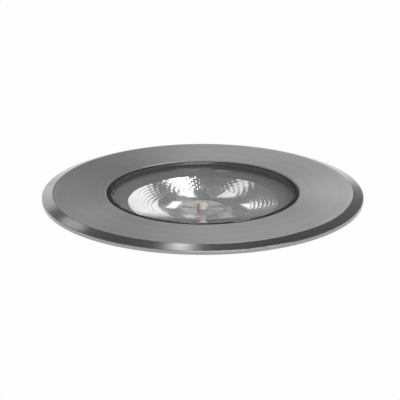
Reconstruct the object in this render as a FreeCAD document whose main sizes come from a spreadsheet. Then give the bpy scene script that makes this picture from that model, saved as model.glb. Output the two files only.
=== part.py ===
"""In-ground well light: a round lamp that drops into a sleeve set in the ground.

Millimetres, +Z up.  The origin is on the lamp's axis at ground level, in the plane
of the flange's underside.
"""
import FreeCAD
import Part

import math
import os
import re

import Sketcher

# Driving sizes.  Each becomes a cell of the sheet, and nothing else sets a length.
SIZES = {
    # flange and its opening
    "flange_diameter": 200.0,
    "rim_height": 2.4,
    "bevel_drop": 2.3,
    "bevel_width": 6.6,
    "opening_diameter": 119.6,
    "opening_chamfer": 0.6,
    "lip_thickness": 4.0,
    # glass and its gaskets
    "glass_thickness": 10.0,
    "glass_rim_thickness": 4.5,
    "glass_rim_width": 7.6,
    "glass_recess": 0.2,
    "glass_chamfer": 0.5,
    "gasket_width": 2.1,
    "gasket_recess": 0.35,
    "seat_gasket_thickness": 2.0,
    "seat_gasket_width": 7.0,
    "glass_clearance": 0.5,
    # sleeve in the ground
    "sleeve_diameter": 160.0,
    "sleeve_wall": 4.0,
    "sleeve_depth": 135.0,
    "sleeve_chamfer": 3.0,
    "seat_step": 0.5,
    "seat_clearance": 0.5,
    "neck_clearance": 1.5,
    "conduit_height": 23.0,
    "conduit_diameter": 25.0,
    "knockout_diameter": 24.0,
    "knockout_line": 1.0,
    "knockout_count": 4,
    "drain_diameter": 9.0,
    "drain_circle": 96.0,
    "drain_count": 6,
    "grommet_bore": 20.0,
    "grommet_lip": 3.0,
    "grommet_lip_thickness": 2.0,
    # housing
    "housing_flange_thickness": 4.0,
    "housing_wall_diameter": 117.0,
    "cavity_diameter": 108.0,
    "chamber_diameter": 106.0,
    "floor_thickness": 5.0,
    "chamber_height": 41.3,
    "foot_flange_diameter": 132.0,
    "foot_flange_thickness": 6.0,
    "fin_count": 36,
    "fin_thickness": 2.0,
    "fin_reach": 7.5,
    "fin_top_gap": 5.5,
    # optics
    "mask_recess": 1.2,
    "mask_thickness": 1.5,
    "mask_clearance": 0.2,
    "mouth_diameter": 92.8,
    "rim_line": 0.5,
    "rim_above_mask": 0.2,
    "reflector_depth": 4.8,
    "reflector_curve": 205.0,
    "reflector_skin": 0.8,
    "bowl_inner_skin": 0.6,
    "bowl_outer_skin": 1.0,
    "reflector_foot": 0.9,
    "reflector_foot_width": 2.0,
    "reflector_flange_width": 4.0,
    "aperture_diameter": 28.0,
    "lens_clearance": 0.3,
    "lens_disc_thickness": 1.2,
    "dome_diameter": 8.2,
    "dome_height": 3.6,
    "dome_cavity": 6.4,
    "dome_cavity_height": 3.0,
    "chip_width": 3.6,
    "chip_height": 2.6,
    "board_diameter": 48.0,
    "board_thickness": 3.0,
    "board_screw_circle": 39.0,
    "led_screw_count": 2,
    "led_screw_depth": 3.0,
    "pad_thickness": 0.5,
    # fasteners: metric threads drawn at their outside diameter
    "thread_gap": 0.05,
    "shank_gap": 0.2,
    "small_screw": 3.0,
    "small_head": 5.6,
    "small_head_height": 1.8,
    "large_screw": 4.0,
    "large_head": 7.0,
    "large_head_height": 2.6,
    "socket_depth": 1.2,
    "trim_screw_count": 6,
    "trim_thread_depth": 8.5,
    "screw_tip_gap": 0.5,
    # bottom cover
    "cover_thickness": 4.0,
    "cover_screw_depth": 5.0,
    "cover_screw_count": 6,
    "oring_thickness": 2.4,
    "oring_groove_gap": 0.1,
    "oring_edge": 3.7,
    # driver and wiring
    "floor_screw_depth": 3.5,
    "driver_length": 74.0,
    "driver_width": 34.0,
    "driver_height": 22.0,
    "lug_length": 8.0,
    "lug_width": 12.0,
    "lug_thickness": 2.0,
    "terminal_length": 32.0,
    "terminal_width": 14.0,
    "terminal_height": 17.0,
    "terminal_gap": 6.0,
    "terminal_pitch": 10.0,
    "terminal_seat": 5.0,
    "supply_drop": 9.0,
    "wire_diameter": 1.8,
    "wire_bend": 4.4,
    "wire_reach": 46.0,
    "wire_offset": 11.0,
    "wire_spread": 4.4,
    "wire_bush_bore": 7.8,
    "wire_bush_wall": 1.0,
    "earth_x": 30.0,
    "lug_ring": 8.0,
    "lug_ring_thickness": 1.0,
    # vent and gland
    "vent_x": -32.0,
    "vent_thread": 12.0,
    "vent_flats": 17.0,
    "vent_head": 7.0,
    "vent_bore": 4.0,
    "gland_x": 27.0,
    "gland_thread": 16.0,
    "gland_flats": 22.0,
    "gland_collar": 5.0,
    "gland_washer_thickness": 1.5,
    "gland_washer_width": 2.6,
    "gland_bore": 10.4,
    "gland_spigot": 15.0,
    "gland_spigot_length": 7.0,
    "gland_cup": 12.4,
    "locknut_height": 4.0,
    "seal_length": 9.5,
    "seal_bore": 9.0,
    "seal_gap": 0.1,
    "nut_travel": 3.0,
    "nut_shoulder": 3.0,
    "nut_stop_gap": 0.5,
    # sprung claws
    "claw_angle": 30.0,
    "claw_count": 3,
    "claw_seat": 58.0,
    "claw_seat_margin": 0.4,
    "claw_gap": 0.3,
    "claw_width": 11.8,
    "claw_thickness": 2.6,
    "claw_tip_radius": 1.5,
    "claw_side_gap": 0.3,
    "pivot_x": 66.0,
    "pivot_z": -52.0,
    "claw_rise": 28.0,
    "pin_diameter": 3.0,
    "pin_gap": 0.05,
    "pin_head": 1.0,
    "eye_radius": 3.6,
    "bracket_thickness": 2.0,
    "bracket_top": -22.0,
    "bracket_foot": 5.0,
    "bracket_screw_edge": 4.0,
    "bracket_screw_drop": 2.4,
    "bracket_screw_depth": 3.5,
    "spring_rise": 16.0,
    "spring_diameter": 8.0,
    "spring_wire": 0.8,
    "spring_turns": 4,
    "spring_end_gap": 0.3,
    "spring_peg": 4.4,
    "arm_peg_length": 3.0,
    "bracket_peg_length": 1.6,
}

# Places and fits worked out from the driving sizes.
PLACES = {
    "flange_radius": "flange_diameter / 2",
    "flange_top": "rim_height + bevel_drop",
    "opening_radius": "opening_diameter / 2",
    "lip_bottom": "flange_top - lip_thickness",
    "glass_top": "flange_top - glass_recess",
    "glass_bottom": "glass_top - glass_thickness",
    "glass_step": "glass_bottom + glass_rim_thickness",
    "glass_radius": "opening_radius - gasket_width",
    "glass_rim_radius": "glass_radius + glass_rim_width",
    "pocket_radius": "glass_rim_radius + glass_clearance",
    "sleeve_radius": "sleeve_diameter / 2",
    "sleeve_bore": "sleeve_radius - sleeve_wall",
    "sleeve_floor": "sleeve_wall - sleeve_depth",
    "seat_radius": "sleeve_radius + seat_clearance",
    "conduit_z": "conduit_height - sleeve_depth",
    "grommet_face": "sqrt(sleeve_radius ^ 2 - (conduit_diameter / 2) ^ 2)",
    "grommet_shoulder": "sqrt(sleeve_bore ^ 2 - (conduit_diameter / 2 + grommet_lip) ^ 2)",
    "grommet_back": "grommet_shoulder - grommet_lip_thickness",
    "neck_radius": "sleeve_bore - neck_clearance",
    "housing_top": "glass_bottom - seat_gasket_thickness",
    "housing_ledge": "housing_top - housing_flange_thickness",
    "trim_circle": "(pocket_radius + neck_radius) / 2",
    "mask_radius": "opening_radius - gasket_width - mask_clearance",
    "mask_top": "housing_top - mask_recess",
    "mask_bottom": "mask_top - mask_thickness",
    "mask_bore": "mask_radius + mask_clearance",
    "mouth_radius": "mouth_diameter / 2",
    "mouth_outer": "mouth_radius + rim_line",
    "mouth_top": "mask_top + rim_above_mask",
    "mouth_bottom": "mouth_top - reflector_depth",
    "reflector_flange": "mouth_outer + reflector_flange_width",
    "board_top": "mouth_bottom - reflector_foot",
    "board_bottom": "board_top - board_thickness",
    "floor_top": "board_bottom - pad_thickness",
    "floor_bottom": "floor_top - floor_thickness",
    "aperture_radius": "aperture_diameter / 2",
    "reflector_foot_radius": "aperture_radius + reflector_foot_width",
    "led_screw_tip": "floor_top - led_screw_depth",
    "board_radius": "board_diameter / 2",
    "board_screw_radius": "board_screw_circle / 2",
    "lens_top": "board_top + lens_disc_thickness",
    "dome_radius": "dome_diameter / 2",
    "dome_curve": "(dome_radius ^ 2 + dome_height ^ 2) / (2 * dome_height)",
    "cavity_radius": "cavity_diameter / 2",
    "chamber_radius": "chamber_diameter / 2",
    "wall_radius": "housing_wall_diameter / 2",
    "housing_bottom": "floor_bottom - chamber_height",
    "foot_radius": "foot_flange_diameter / 2",
    "foot_top": "housing_bottom + foot_flange_thickness",
    "fin_top": "housing_ledge - fin_top_gap",
    "fin_radius": "wall_radius + fin_reach",
    "cover_screw_circle": "(wall_radius + foot_radius) / 2",
    "cover_bottom": "housing_bottom - cover_thickness",
    "oring_radius": "oring_thickness / 2",
    "oring_circle": "wall_radius - oring_edge + oring_radius",
    "driver_bottom": "floor_bottom - driver_height",
    "lug_screw_x": "driver_length / 2 + lug_length / 2",
    "terminal_start": "driver_width / 2 + terminal_gap",
    "terminal_y": "terminal_start + terminal_width / 2",
    "terminal_screw_x": "terminal_length / 2 - small_head",
    "supply_z": "floor_bottom - supply_drop",
    "wire_radius": "wire_diameter / 2",
    "bush_radius": "wire_bush_bore / 2 + wire_bush_wall",
    "gland_collar_bottom": "cover_bottom - gland_washer_thickness - gland_collar",
    "gland_end": "gland_collar_bottom - gland_spigot_length",
    "nut_top": "gland_collar_bottom - nut_travel",
    "nut_shoulder_top": "gland_end - nut_stop_gap - nut_travel",
    "seal_top": "nut_shoulder_top + seal_length",
    "cup_top": "seal_top + nut_travel + nut_stop_gap",
    "nut_bottom": "nut_shoulder_top - nut_shoulder",
    "claw_half": "claw_width / 2",
    "tip_reach": "sqrt((sleeve_bore - claw_gap) ^ 2 - claw_half ^ 2)",
    "tip_x": "tip_reach - claw_tip_radius",
    "tip_z": "pivot_z + claw_rise",
    "arm_run": "tip_x - pivot_x",
    "arm_length": "sqrt(arm_run ^ 2 + claw_rise ^ 2)",
    "arm_side": "claw_thickness / 2 * claw_rise / arm_length",
    "arm_drop": "claw_thickness / 2 * arm_run / arm_length",
    "cheek_inner": "claw_half + claw_side_gap",
    "cheek_outer": "cheek_inner + bracket_thickness",
    "bracket_face": "claw_seat + bracket_thickness",
    "bracket_middle": "claw_seat + bracket_thickness / 2",
    "bracket_bottom": "pivot_z - bracket_foot",
    "bracket_upper_z": "bracket_top - bracket_screw_edge",
    "bracket_lower_z": "pivot_z - bracket_screw_drop",
    "spring_z": "pivot_z + spring_rise",
    "arm_slope": "arm_run / claw_rise",
    "arm_face": "pivot_x + arm_slope * spring_rise - claw_thickness / 2 * arm_length / claw_rise",
    "spring_end": "arm_face - arm_slope * spring_diameter / 2 - spring_end_gap",
}

# Small screws in the underside of the housing's floor.
FLOOR_SCREWS = (
    ("-lug_screw_x", "0"),
    ("lug_screw_x", "0"),
    ("-terminal_screw_x", "terminal_y"),
    ("terminal_screw_x", "terminal_y"),
)

DOC = FreeCAD.newDocument("well_light")
SHEET = DOC.addObject("Spreadsheet::Sheet", "sizes")


def expression(text):
    """Writes a formula of named sizes and places in the sheet's own cells."""
    def cell(match):
        word = match.group(0)
        if word in PLACES:
            return "(" + expression(PLACES[word]) + ")"
        if word in SIZES:
            return "sizes." + word
        return word
    return re.sub(r"[a-z][a-z_0-9]*", cell, str(text))


def value(text):
    """The number that a formula gives now."""
    return float(SHEET.evalExpression(expression(text)))


def fill_sheet():
    """Puts every driving size in the sheet under its own name."""
    for row, (name, size) in enumerate(SIZES.items(), start=1):
        SHEET.set("A%d" % row, name)
        SHEET.set("B%d" % row, str(size))
        SHEET.setAlias("B%d" % row, name)
    DOC.recompute()


def new_body(label):
    """An empty body, which may hold several separate solids."""
    body = DOC.addObject("PartDesign::Body", label)
    body.Label = label
    body.AllowCompound = True
    return body


def new_sketch(body, plane="XZ_Plane", height=None, spin=None):
    """A sketch on one of the body's own planes, raised by a named height.

    It may also be swung round the body's upright axis by a named angle.
    """
    drawing = body.newObject("Sketcher::SketchObject", body.Name + "_sketch")
    support = [item for item in body.Origin.OriginFeatures if item.Role == plane][0]
    drawing.AttachmentSupport = [(support, "")]
    drawing.MapMode = "FlatFace"
    if spin is not None:
        upright = (0, 0, 1) if plane == "XY_Plane" else (0, 1, 0)
        swing = FreeCAD.Rotation(FreeCAD.Vector(*upright), value(spin))
        drawing.AttachmentOffset = FreeCAD.Placement(FreeCAD.Vector(), swing)
    if height is not None:
        drawing.setExpression("AttachmentOffset.Base.z", expression(height))
    return drawing


def tie(drawing, kind, edge, end, text):
    """Holds one end of an edge at a named distance from the sketch's origin."""
    number = value(text)
    place = drawing.addConstraint(Sketcher.Constraint(kind, -1, 1, edge, end, number))
    drawing.setExpression("Constraints[%d]" % place, expression(text))


def add_arc(drawing, first, last, text, side):
    """Adds an arc between two points, and tells which of its ends is the first."""
    radius = value(text)
    chord = last - first
    left = FreeCAD.Vector(-chord.y, chord.x, 0).normalize()
    rise = math.sqrt(radius ** 2 - (chord.Length / 2) ** 2)
    if side == "right":
        rise = -rise
    centre = (first + last) * 0.5 + left * rise
    start = first if side == "left" else last
    stop = last if side == "left" else first
    from_angle = math.atan2(start.y - centre.y, start.x - centre.x)
    to_angle = math.atan2(stop.y - centre.y, stop.x - centre.x)
    if to_angle < from_angle:
        to_angle += 2 * math.pi
    circle = Part.Circle(centre, FreeCAD.Vector(0, 0, 1), radius)
    edge = drawing.addGeometry(Part.ArcOfCircle(circle, from_angle, to_angle))
    place = drawing.addConstraint(Sketcher.Constraint("Radius", edge, radius))
    drawing.setExpression("Constraints[%d]" % place, expression(text))
    return (edge, 1, 2) if side == "left" else (edge, 2, 1)


def outline(drawing, points):
    """Closes a chain of edges through named points.

    A point may also hold a radius and a side: the edge that leaves it is then an
    arc of that radius, with its centre on that side of the way on.
    """
    corners = [FreeCAD.Vector(value(point[0]), value(point[1]), 0) for point in points]
    edges = []
    for index, point in enumerate(points):
        first = corners[index]
        last = corners[(index + 1) % len(points)]
        if len(point) == 4:
            edges.append(add_arc(drawing, first, last, point[2], point[3]))
        else:
            edges.append((drawing.addGeometry(Part.LineSegment(first, last)), 1, 2))
    for index, point in enumerate(points):
        edge, start, _ = edges[index]
        before, _, end = edges[index - 1]
        drawing.addConstraint(Sketcher.Constraint("Coincident", before, end, edge, start))
        tie(drawing, "DistanceX", edge, start, point[0])
        tie(drawing, "DistanceY", edge, start, point[1])


def add_axis(drawing, direction, text):
    """Adds a construction line to turn about: upright at an x, or level at a z."""
    reach = "flange_radius"
    ends = [(text, "0"), (text, reach)]
    if direction == "level":
        ends = [("0", text), (reach, text)]
    points = [FreeCAD.Vector(value(x), value(y), 0) for x, y in ends]
    edge = drawing.addGeometry(Part.LineSegment(points[0], points[1]), True)
    for end, (x, y) in enumerate(ends, start=1):
        tie(drawing, "DistanceX", edge, end, x)
        tie(drawing, "DistanceY", edge, end, y)


def repeat(body, feature, copies):
    """Copies a feature round the body's upright axis, and makes that the result."""
    if copies is None:
        body.Tip = feature
        return feature
    pattern = body.newObject("PartDesign::PolarPattern", body.Name + "_pattern")
    pattern.Originals = [feature]
    upright = [item for item in body.Origin.OriginFeatures if item.Role == "Z_Axis"][0]
    pattern.Axis = (upright, [""])
    pattern.Angle = 360
    pattern.Occurrences = int(value(copies))
    pattern.setExpression("Occurrences", expression(copies))
    body.Tip = pattern
    return pattern


def turn(body, points, cut=False, axis=None, plane="XZ_Plane", copies=None, spin=None,
         height=None):
    """Turns an outline about the body's own axis, or about a line in the sketch."""
    drawing = new_sketch(body, plane, height, spin)
    outline(drawing, points)
    if axis is not None:
        add_axis(drawing, axis[0], axis[1])
    DOC.recompute()
    kind = "PartDesign::Groove" if cut else "PartDesign::Revolution"
    feature = body.newObject(kind, body.Name + "_turn")
    feature.Profile = drawing
    feature.ReferenceAxis = (drawing, ["V_Axis" if axis is None else "Axis0"])
    feature.Angle = 360
    return repeat(body, feature, copies)


def rod(body, radius, low, high, cut=False, axis=None, plane="XZ_Plane", copies=None,
        spin=None, height=None):
    """A round bar or hole along the turning line, between two places on it."""
    centre = "0" if axis is None else axis[1]
    edge = "%s + %s" % (centre, radius)
    points = [(centre, low), (edge, low), (edge, high), (centre, high)]
    if axis is not None and axis[0] == "level":
        points = [(low, centre), (high, centre), (high, edge), (low, edge)]
    return turn(body, points, cut, axis, plane, copies, spin, height)


def extrude(body, draw, length, plane="XY_Plane", height=None, cut=False, middle=False,
            copies=None, spin=None):
    """Pushes a drawn shape straight out of its plane, or cuts with it."""
    drawing = new_sketch(body, plane, height, spin)
    draw(drawing)
    DOC.recompute()
    feature = body.newObject("PartDesign::Pocket" if cut else "PartDesign::Pad",
                             body.Name + "_push")
    feature.Profile = drawing
    feature.setExpression("Length", expression(length))
    if middle:
        feature.SideType = "Symmetric"
    return repeat(body, feature, copies)


def rectangle(left, front, right, back):
    """Draws a rectangle between four named places."""
    return lambda drawing: outline(
        drawing, [(left, front), (right, front), (right, back), (left, back)])


def disc(x, y, radius):
    """Draws a circle about a named point."""
    def draw(drawing):
        centre = FreeCAD.Vector(value(x), value(y), 0)
        circle = Part.Circle(centre, FreeCAD.Vector(0, 0, 1), value(radius))
        edge = drawing.addGeometry(circle)
        tie(drawing, "DistanceX", edge, 3, x)
        tie(drawing, "DistanceY", edge, 3, y)
        place = drawing.addConstraint(Sketcher.Constraint("Radius", edge, value(radius)))
        drawing.setExpression("Constraints[%d]" % place, expression(radius))
    return draw


def hexagon(flats):
    """Draws a hexagon about the origin, with a named width across its flats."""
    corners = ["%d deg" % (60 * corner) for corner in range(6)]
    points = [("%s / sqrt(3) * cos(%s)" % (flats, angle), "%s / sqrt(3) * sin(%s)" % (flats, angle))
              for angle in corners]
    return lambda drawing: outline(drawing, points)


def block(body, x_span, y_span, z_span):
    """A plain box between named places."""
    draw = rectangle(x_span[0], y_span[0], x_span[1], y_span[1])
    return extrude(body, draw, "(%s) - (%s)" % (z_span[1], z_span[0]), height=z_span[0])


def move(body, x=None, z=None, y=None, spin=None, turn_axis=FreeCAD.Vector(0, 0, 1)):
    """Places a finished body by named distances and an angle."""
    if spin is not None:
        body.Placement.Rotation = FreeCAD.Rotation(turn_axis, value(spin))
    for axis, text in (("x", x), ("y", y), ("z", z)):
        if text is not None:
            body.setExpression("Placement.Base." + axis, expression(text))


def screw(body, radius, head_radius, seat, head_height, tip, axis=None, copies=None,
          down=True):
    """A screw with a socket head: the head's flat side is at seat, its end at tip."""
    centre = "0" if axis is None else axis[1]
    far = "%s %s %s" % (seat, "-" if down else "+", head_height)
    well = "%s %s socket_depth" % (far, "+" if down else "-")
    profile = [(centre, tip), (radius, tip), (radius, seat), (head_radius, seat),
               (head_radius, far), ("%s / 2" % head_radius, far),
               ("%s / 2" % head_radius, well), (centre, well)]
    points = [(x if x == centre else "%s + %s" % (centre, x), z) for x, z in profile]
    if axis is not None and axis[0] == "level":
        points = [(z, x) for x, z in points]
    return turn(body, points, axis=axis, copies=copies)


# ---- the lamp's face -------------------------------------------------------------

def make_trim_ring():
    """Turned flange with a sloping edge, a lip over the glass and a neck below.

    A shallow step in its underside sits over the sleeve's rim.
    """
    body = new_body("trim_ring")
    turn(body, [
        ("neck_radius", "seat_step"),
        ("seat_radius", "seat_step"),
        ("seat_radius", "0"),
        ("flange_radius", "0"),
        ("flange_radius", "rim_height"),
        ("flange_radius - bevel_width", "flange_top"),
        ("opening_radius + opening_chamfer", "flange_top"),
        ("opening_radius", "flange_top - opening_chamfer"),
        ("opening_radius", "lip_bottom"),
        ("pocket_radius", "lip_bottom"),
        ("pocket_radius", "housing_top"),
        ("neck_radius", "housing_top"),
    ])
    rod(body, "large_screw / 2", "housing_top", "housing_top + trim_thread_depth",
        cut=True, axis=("upright", "trim_circle"), copies="trim_screw_count")


def make_glass_lens():
    """Stepped disc of toughened glass, its upper step level with the flange."""
    body = new_body("glass_lens")
    turn(body, [
        ("0", "glass_bottom"),
        ("glass_rim_radius - glass_chamfer", "glass_bottom"),
        ("glass_rim_radius", "glass_bottom + glass_chamfer"),
        ("glass_rim_radius", "glass_step"),
        ("glass_radius", "glass_step"),
        ("glass_radius", "glass_top - glass_chamfer"),
        ("glass_radius - glass_chamfer", "glass_top"),
        ("0", "glass_top"),
    ])


def make_glass_gasket():
    """Angled rubber ring between the glass and the flange's lip."""
    turn(new_body("glass_gasket"), [
        ("glass_radius", "glass_step"),
        ("glass_rim_radius", "glass_step"),
        ("glass_rim_radius", "lip_bottom"),
        ("opening_radius", "lip_bottom"),
        ("opening_radius", "flange_top - gasket_recess - opening_chamfer / 2"),
        ("opening_radius - opening_chamfer / 2", "flange_top - gasket_recess"),
        ("glass_radius", "flange_top - gasket_recess"),
    ])


def make_seat_gasket():
    """Flat silicone ring that the glass rests on."""
    turn(new_body("seat_gasket"), [
        ("glass_rim_radius - seat_gasket_width", "housing_top"),
        ("glass_rim_radius", "housing_top"),
        ("glass_rim_radius", "glass_bottom"),
        ("glass_rim_radius - seat_gasket_width", "glass_bottom"),
    ])


# ---- optics ----------------------------------------------------------------------

def make_mask_ring():
    """Flat ring that hides the gap round the reflector and holds it down."""
    turn(new_body("mask_ring"), [
        ("mouth_outer + mask_clearance", "mask_bottom"),
        ("mask_radius", "mask_bottom"),
        ("mask_radius", "mask_top"),
        ("mouth_outer + mask_clearance", "mask_top"),
    ])


def make_reflector():
    """Shallow bowl with a foot on the board and a flange under the mask ring."""
    turn(new_body("reflector"), [
        ("aperture_radius", "board_top"),
        ("reflector_foot_radius", "board_top"),
        ("reflector_foot_radius", "mouth_bottom - bowl_inner_skin", "reflector_curve", "left"),
        ("mouth_radius", "mouth_top - bowl_outer_skin"),
        ("mouth_radius", "mask_bottom - reflector_skin"),
        ("reflector_flange", "mask_bottom - reflector_skin"),
        ("reflector_flange", "mask_bottom"),
        ("mouth_outer", "mask_bottom"),
        ("mouth_outer", "mouth_top"),
        ("mouth_radius", "mouth_top", "reflector_curve", "right"),
        ("aperture_radius", "mouth_bottom"),
    ])


def make_led_lens():
    """Clear moulded disc with a small dome over the chip."""
    turn(new_body("led_lens"), [
        ("dome_cavity / 2", "board_top"),
        ("aperture_radius - lens_clearance", "board_top"),
        ("aperture_radius - lens_clearance", "lens_top - glass_chamfer"),
        ("aperture_radius - lens_clearance - glass_chamfer", "lens_top"),
        ("dome_radius", "lens_top", "dome_curve", "left"),
        ("0", "lens_top + dome_height"),
        ("0", "board_top + dome_cavity_height"),
        ("dome_cavity / 2", "board_top + dome_cavity_height"),
    ])


def make_led_chip():
    """Square LED in its phosphor block, standing on the board."""
    block(new_body("led_chip"), ("-chip_width / 2", "chip_width / 2"),
          ("-chip_width / 2", "chip_width / 2"), ("board_top", "board_top + chip_height"))


def make_led_board():
    """Metal LED board with two countersunk screw holes."""
    body = new_body("led_board")
    rod(body, "board_radius", "board_bottom", "board_top")
    turn(body, [
        ("board_screw_radius", "board_bottom"),
        ("board_screw_radius + small_screw / 2 + shank_gap", "board_bottom"),
        ("board_screw_radius + small_screw / 2 + shank_gap", "board_top - small_head_height"),
        ("board_screw_radius + small_head / 2 + shank_gap", "board_top"),
        ("board_screw_radius", "board_top"),
    ], cut=True, axis=("upright", "board_screw_radius"), copies="led_screw_count")


def make_led_screws():
    """Two countersunk screws that hold the board and its pad to the floor."""
    body = new_body("led_screws")
    turn(body, [
        ("board_screw_radius", "led_screw_tip"),
        ("board_screw_radius + small_screw / 2 - thread_gap", "led_screw_tip"),
        ("board_screw_radius + small_screw / 2 - thread_gap", "board_top - small_head_height"),
        ("board_screw_radius + small_head / 2 - thread_gap", "board_top - thread_gap"),
        ("board_screw_radius", "board_top - thread_gap"),
    ], axis=("upright", "board_screw_radius"), copies="led_screw_count")


def make_thermal_pad():
    """Thin pad that carries the board's heat to the housing's floor."""
    body = new_body("thermal_pad")
    rod(body, "board_radius", "floor_top", "board_bottom")
    rod(body, "small_screw / 2 + shank_gap", "floor_top", "board_bottom", cut=True,
        axis=("upright", "board_screw_radius"), copies="led_screw_count")


# ---- housing ---------------------------------------------------------------------

def make_housing():
    """Finned casting: a shallow optics bay over a floor, and a wide driver bay below."""
    body = new_body("housing")
    turn(body, [
        ("0", "floor_bottom"),
        ("chamber_radius", "floor_bottom"),
        ("chamber_radius", "housing_bottom"),
        ("foot_radius", "housing_bottom"),
        ("foot_radius", "foot_top"),
        ("wall_radius", "foot_top"),
        ("wall_radius", "housing_ledge"),
        ("neck_radius", "housing_ledge"),
        ("neck_radius", "housing_top"),
        ("mask_bore", "housing_top"),
        ("mask_bore", "mask_bottom"),
        ("cavity_radius", "mask_bottom"),
        ("cavity_radius", "floor_top"),
        ("0", "floor_top"),
    ])
    fin = rectangle("wall_radius - fin_thickness", "-fin_thickness / 2",
                    "fin_radius", "fin_thickness / 2")
    extrude(body, fin, "fin_top - foot_top", height="foot_top", copies="fin_count")
    seat = rectangle("claw_seat", "-(cheek_outer + claw_seat_margin)",
                     "foot_radius + fin_reach", "cheek_outer + claw_seat_margin")
    extrude(body, seat, "housing_ledge - foot_top", height="housing_ledge", cut=True,
            copies="claw_count", spin="claw_angle")
    rod(body, "large_screw / 2 + shank_gap", "housing_ledge", "housing_top", cut=True,
        axis=("upright", "trim_circle"), copies="trim_screw_count")
    rod(body, "large_screw / 2", "housing_bottom", "housing_bottom + cover_screw_depth",
        cut=True, axis=("upright", "cover_screw_circle"), copies="cover_screw_count")
    for place in ("bracket_upper_z", "bracket_lower_z"):
        rod(body, "small_screw / 2", "claw_seat - bracket_screw_depth", "foot_radius",
            cut=True, axis=("level", place), copies="claw_count", spin="claw_angle")
    rod(body, "small_screw / 2", "led_screw_tip", "floor_top", cut=True,
        axis=("upright", "board_screw_radius"), copies="led_screw_count")
    extrude(body, disc("wire_reach", "-wire_offset", "bush_radius"), "floor_thickness",
            height="floor_top", cut=True)
    for x, y in FLOOR_SCREWS:
        floor_hole(body, x, y, "small_screw / 2")
    floor_hole(body, "earth_x", "terminal_y", "large_screw / 2")


def floor_hole(body, x, y, radius):
    """A blind tapped hole in the underside of the housing's floor."""
    extrude(body, disc(x, y, radius), "floor_screw_depth",
            height="floor_bottom + floor_screw_depth", cut=True)


def make_trim_screws():
    """Screws that pull the housing up to the flange's neck."""
    screw(new_body("trim_screws"), "large_screw / 2 - thread_gap", "large_head / 2",
          "housing_ledge", "large_head_height",
          "housing_top + trim_thread_depth - screw_tip_gap",
          axis=("upright", "trim_circle"), copies="trim_screw_count")


# ---- driver bay ------------------------------------------------------------------

def make_driver():
    """Potted driver under the floor, with a screw lug at each end."""
    body = new_body("driver")
    block(body, ("-driver_length / 2", "driver_length / 2"),
          ("-driver_width / 2", "driver_width / 2"), ("driver_bottom", "floor_bottom"))
    block(body, ("-driver_length / 2 - lug_length", "driver_length / 2 + lug_length"),
          ("-lug_width / 2", "lug_width / 2"),
          ("floor_bottom - lug_thickness", "floor_bottom"))
    for side in ("-lug_screw_x", "lug_screw_x"):
        extrude(body, disc(side, "0", "small_screw / 2 + shank_gap"), "lug_thickness",
                height="floor_bottom", cut=True)


def floor_screw(body, seat, x):
    """A small screw that hangs from the floor with its head at a named height."""
    return screw(body, "small_screw / 2 - thread_gap", "small_head / 2", seat,
                 "small_head_height", "floor_bottom + floor_screw_depth - screw_tip_gap",
                 axis=("upright", x))


def make_driver_screws():
    """Two screws through the driver's lugs."""
    body = new_body("driver_screws")
    for side in ("-lug_screw_x", "lug_screw_x"):
        floor_screw(body, "floor_bottom - lug_thickness", side)


def make_terminal_block():
    """Three-pole terminal block beside the driver."""
    body = new_body("terminal_block")
    block(body, ("-terminal_length / 2", "terminal_length / 2"),
          ("terminal_start", "terminal_start + terminal_width"),
          ("floor_bottom - terminal_height", "floor_bottom"))
    for side in ("-terminal_screw_x", "terminal_screw_x"):
        extrude(body, disc(side, "terminal_y", "small_screw / 2 + shank_gap"),
                "terminal_height", height="floor_bottom", cut=True)
        extrude(body, disc(side, "terminal_y", "small_head / 2 + shank_gap"),
                "terminal_height - terminal_seat",
                height="floor_bottom - terminal_seat", cut=True)


def make_terminal_screws():
    """Two screws that hold the terminal block to the floor."""
    body = new_body("terminal_screws")
    for side in ("-terminal_screw_x", "terminal_screw_x"):
        floor_screw(body, "floor_bottom - terminal_seat", side)
    move(body, y="terminal_y")


def make_supply_wires():
    """Two straight wires from the terminal block to the driver."""
    body = new_body("supply_wires")
    for side in ("-terminal_pitch / 2", "terminal_pitch / 2"):
        rod(body, "wire_radius", "driver_width / 2", "terminal_start",
            axis=("level", "supply_z"), plane="YZ_Plane", height=side)


def make_earth_parts():
    """Earth screw in the floor, its ring lug and the wire to the terminal block."""
    lug = new_body("earth_lug")
    rod(lug, "lug_ring / 2", "floor_bottom - lug_ring_thickness", "floor_bottom")
    rod(lug, "large_screw / 2 + thread_gap", "floor_bottom - lug_ring_thickness",
        "floor_bottom", cut=True)
    move(lug, x="earth_x", y="terminal_y")
    bolt = new_body("earth_screw")
    screw(bolt, "large_screw / 2 - thread_gap", "large_head / 2",
          "floor_bottom - lug_ring_thickness", "large_head_height",
          "floor_bottom + floor_screw_depth - screw_tip_gap")
    move(bolt, x="earth_x", y="terminal_y")
    wire = new_body("earth_wire")
    rod(wire, "wire_radius", "terminal_length / 2",
        "earth_x - lug_ring / 2", axis=("level", "floor_bottom - wire_radius"))
    move(wire, y="terminal_y")


def make_wire_bush():
    """Rubber bush where the LED wires pass the floor."""
    body = new_body("wire_bush")
    rod(body, "bush_radius", "floor_bottom", "floor_top")
    rod(body, "wire_bush_bore / 2", "floor_bottom", "floor_top", cut=True)
    move(body, x="wire_reach", y="-wire_offset")


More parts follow.
